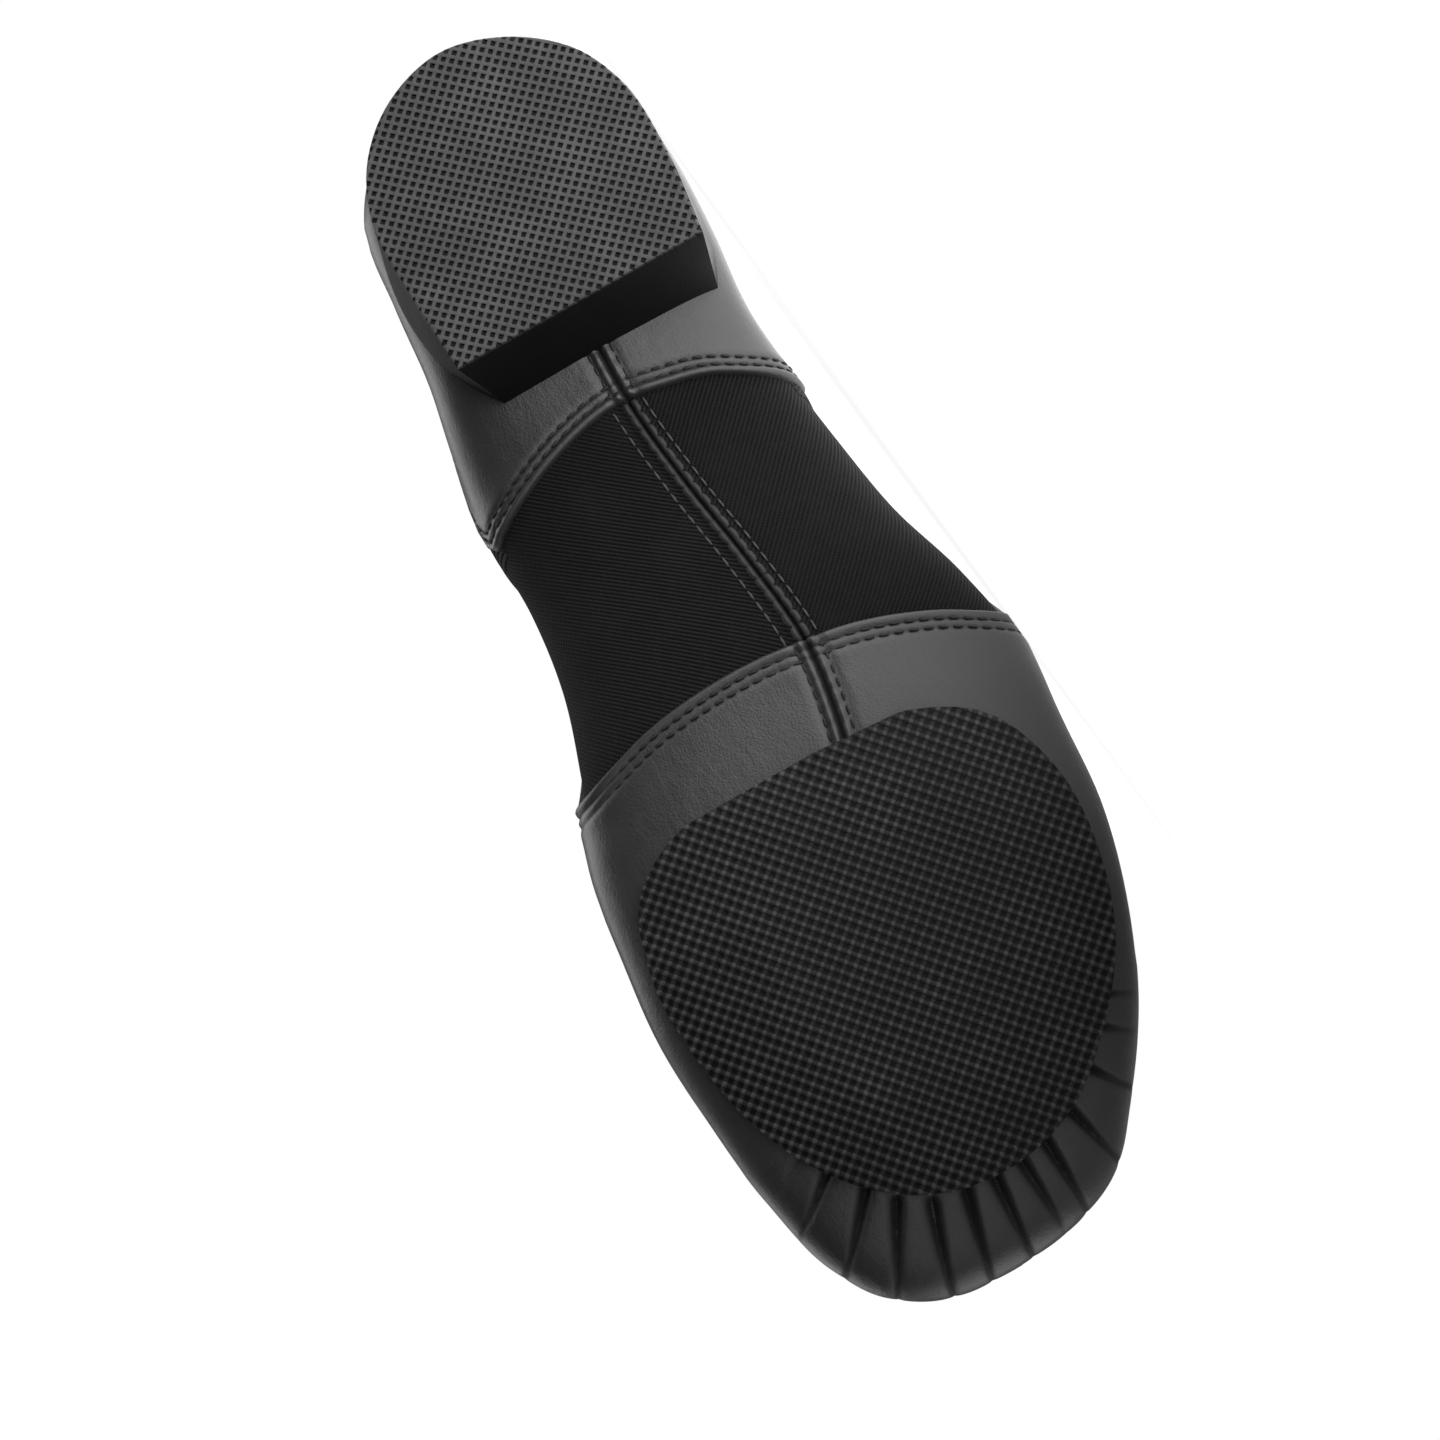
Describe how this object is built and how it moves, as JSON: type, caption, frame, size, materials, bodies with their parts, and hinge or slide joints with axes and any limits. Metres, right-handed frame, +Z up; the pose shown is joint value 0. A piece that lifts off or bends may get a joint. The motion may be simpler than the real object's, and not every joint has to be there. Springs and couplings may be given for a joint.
{
  "type": "jazz shoe",
  "caption": "Black slip-on jazz shoe for the right foot, lying on its outer side: split sole, stretch arch, gathered toe, low rubber heel.",
  "frame": {"origin": "middle of the bounding box, on the surface that the shoe lies on", "axes": "+Z up, the toe towards -X, the sole facing -Y; the outer (lateral) side is down"},
  "size_m": [0.2496, 0.082, 0.0986],
  "materials": {
    "leather": "smooth black leather with a soft sheen",
    "cloth": "dark stretch twill, ribbed elastic, lining and thread",
    "rubber": "matt black rubber with a fine waffle tread"
  },
  "bodies": {
    "root": {"upper": "leather", "insole": "cloth", "forefoot_sole": "rubber", "heel": "rubber"}
  },
  "joints": []
}
